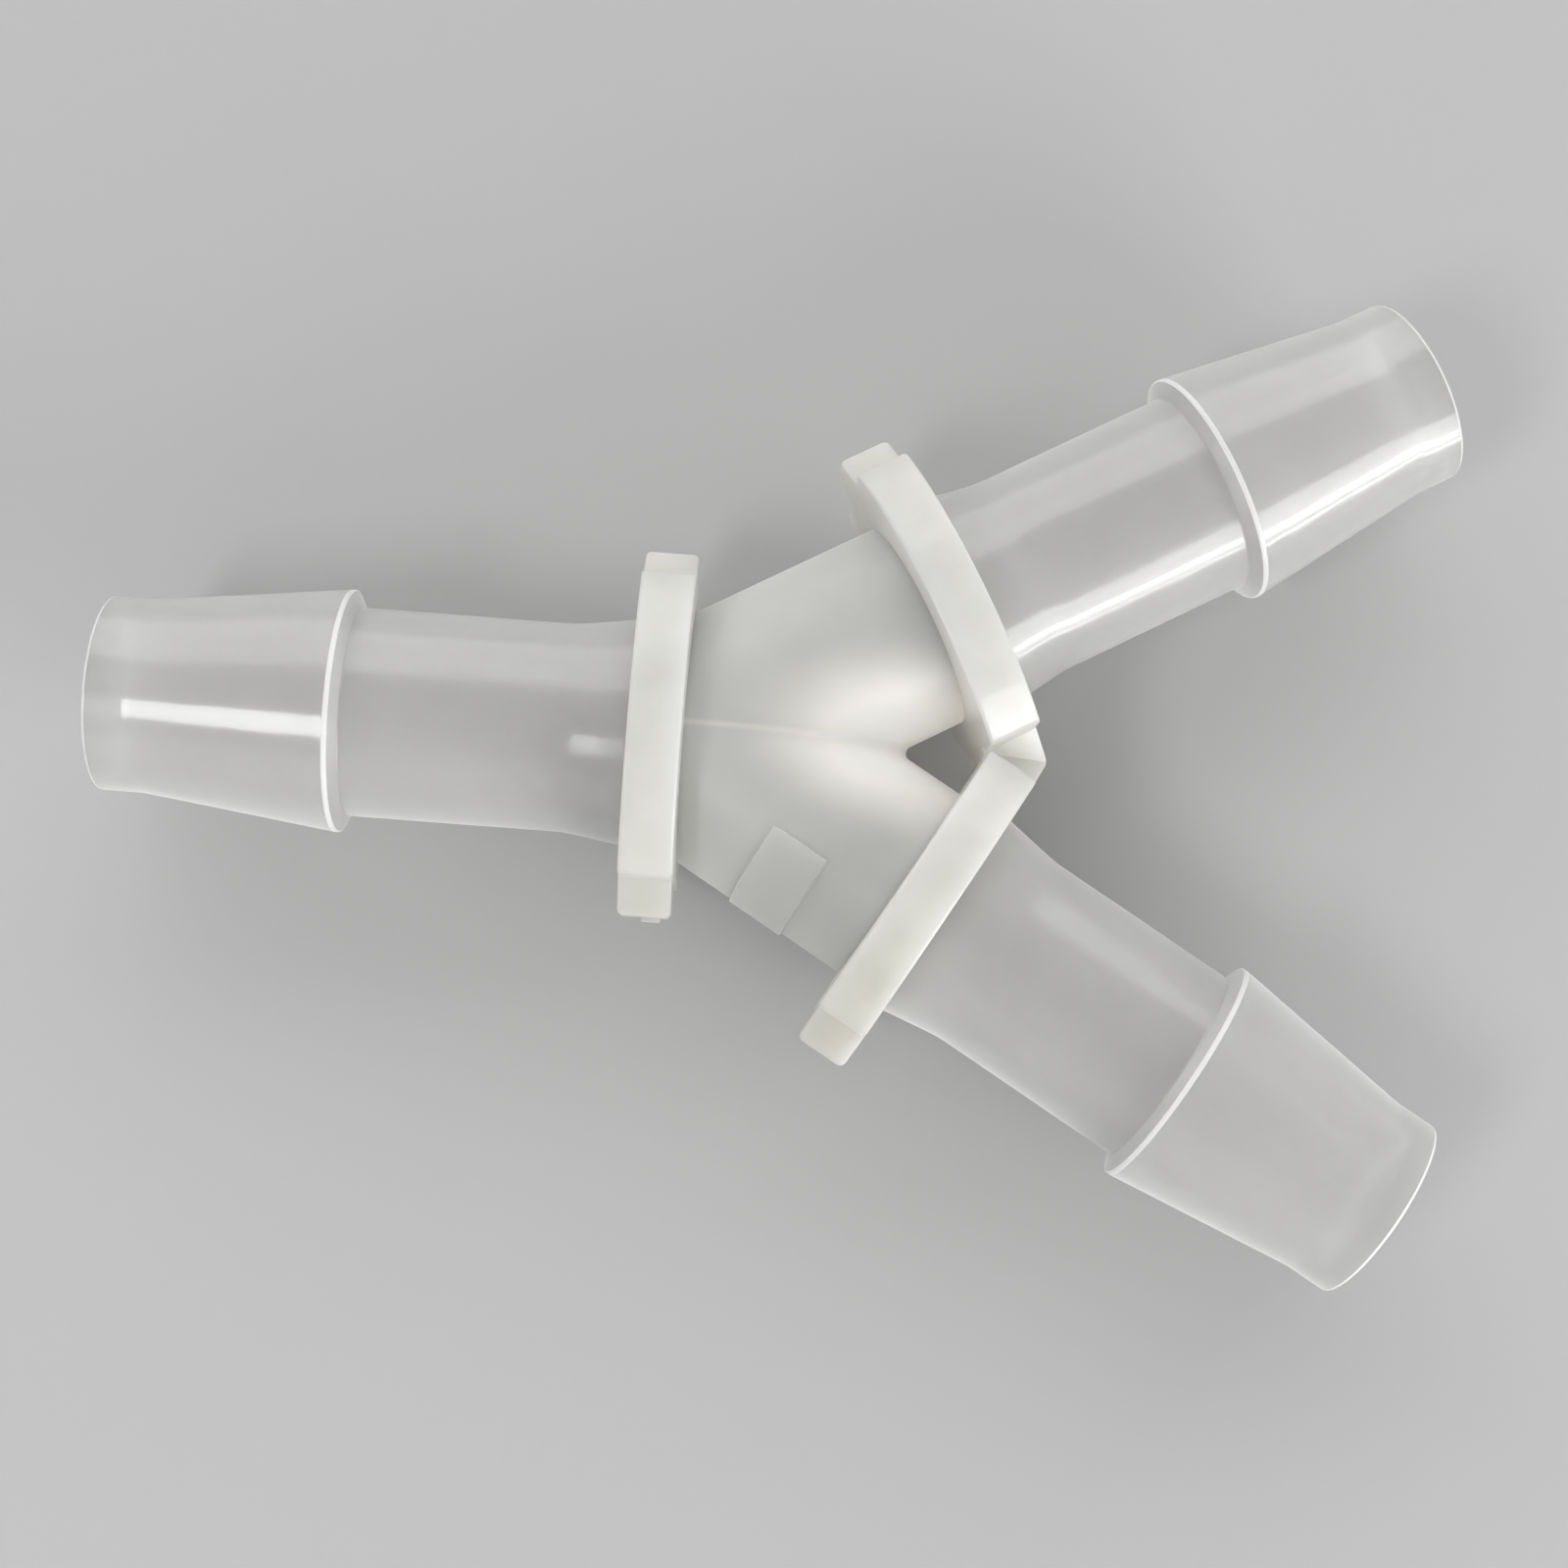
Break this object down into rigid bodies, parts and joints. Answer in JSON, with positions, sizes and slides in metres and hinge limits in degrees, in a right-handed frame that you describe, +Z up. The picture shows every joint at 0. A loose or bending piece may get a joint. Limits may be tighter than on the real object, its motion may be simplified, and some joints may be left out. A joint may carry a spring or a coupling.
{
  "type": "tubing y connector",
  "caption": "One-piece moulded Y connector for flexible tubing: a trunk that splits into branches, with a hose barb and an eared stop collar on every arm.",
  "frame": {"origin": "centre of the footprint on the plane that the part lies on, which its three collars touch", "axes": "+Z up, square to the plane of the three arm axes; the trunk points along -X and the two branches open towards +X, 30 degrees to each side"},
  "size_m": [0.1162, 0.0862, 0.026],
  "materials": {
    "body": "natural translucent polypropylene as moulded, semi-gloss"
  },
  "bodies": {
    "root": {"y_connector": "body"}
  },
  "joints": []
}
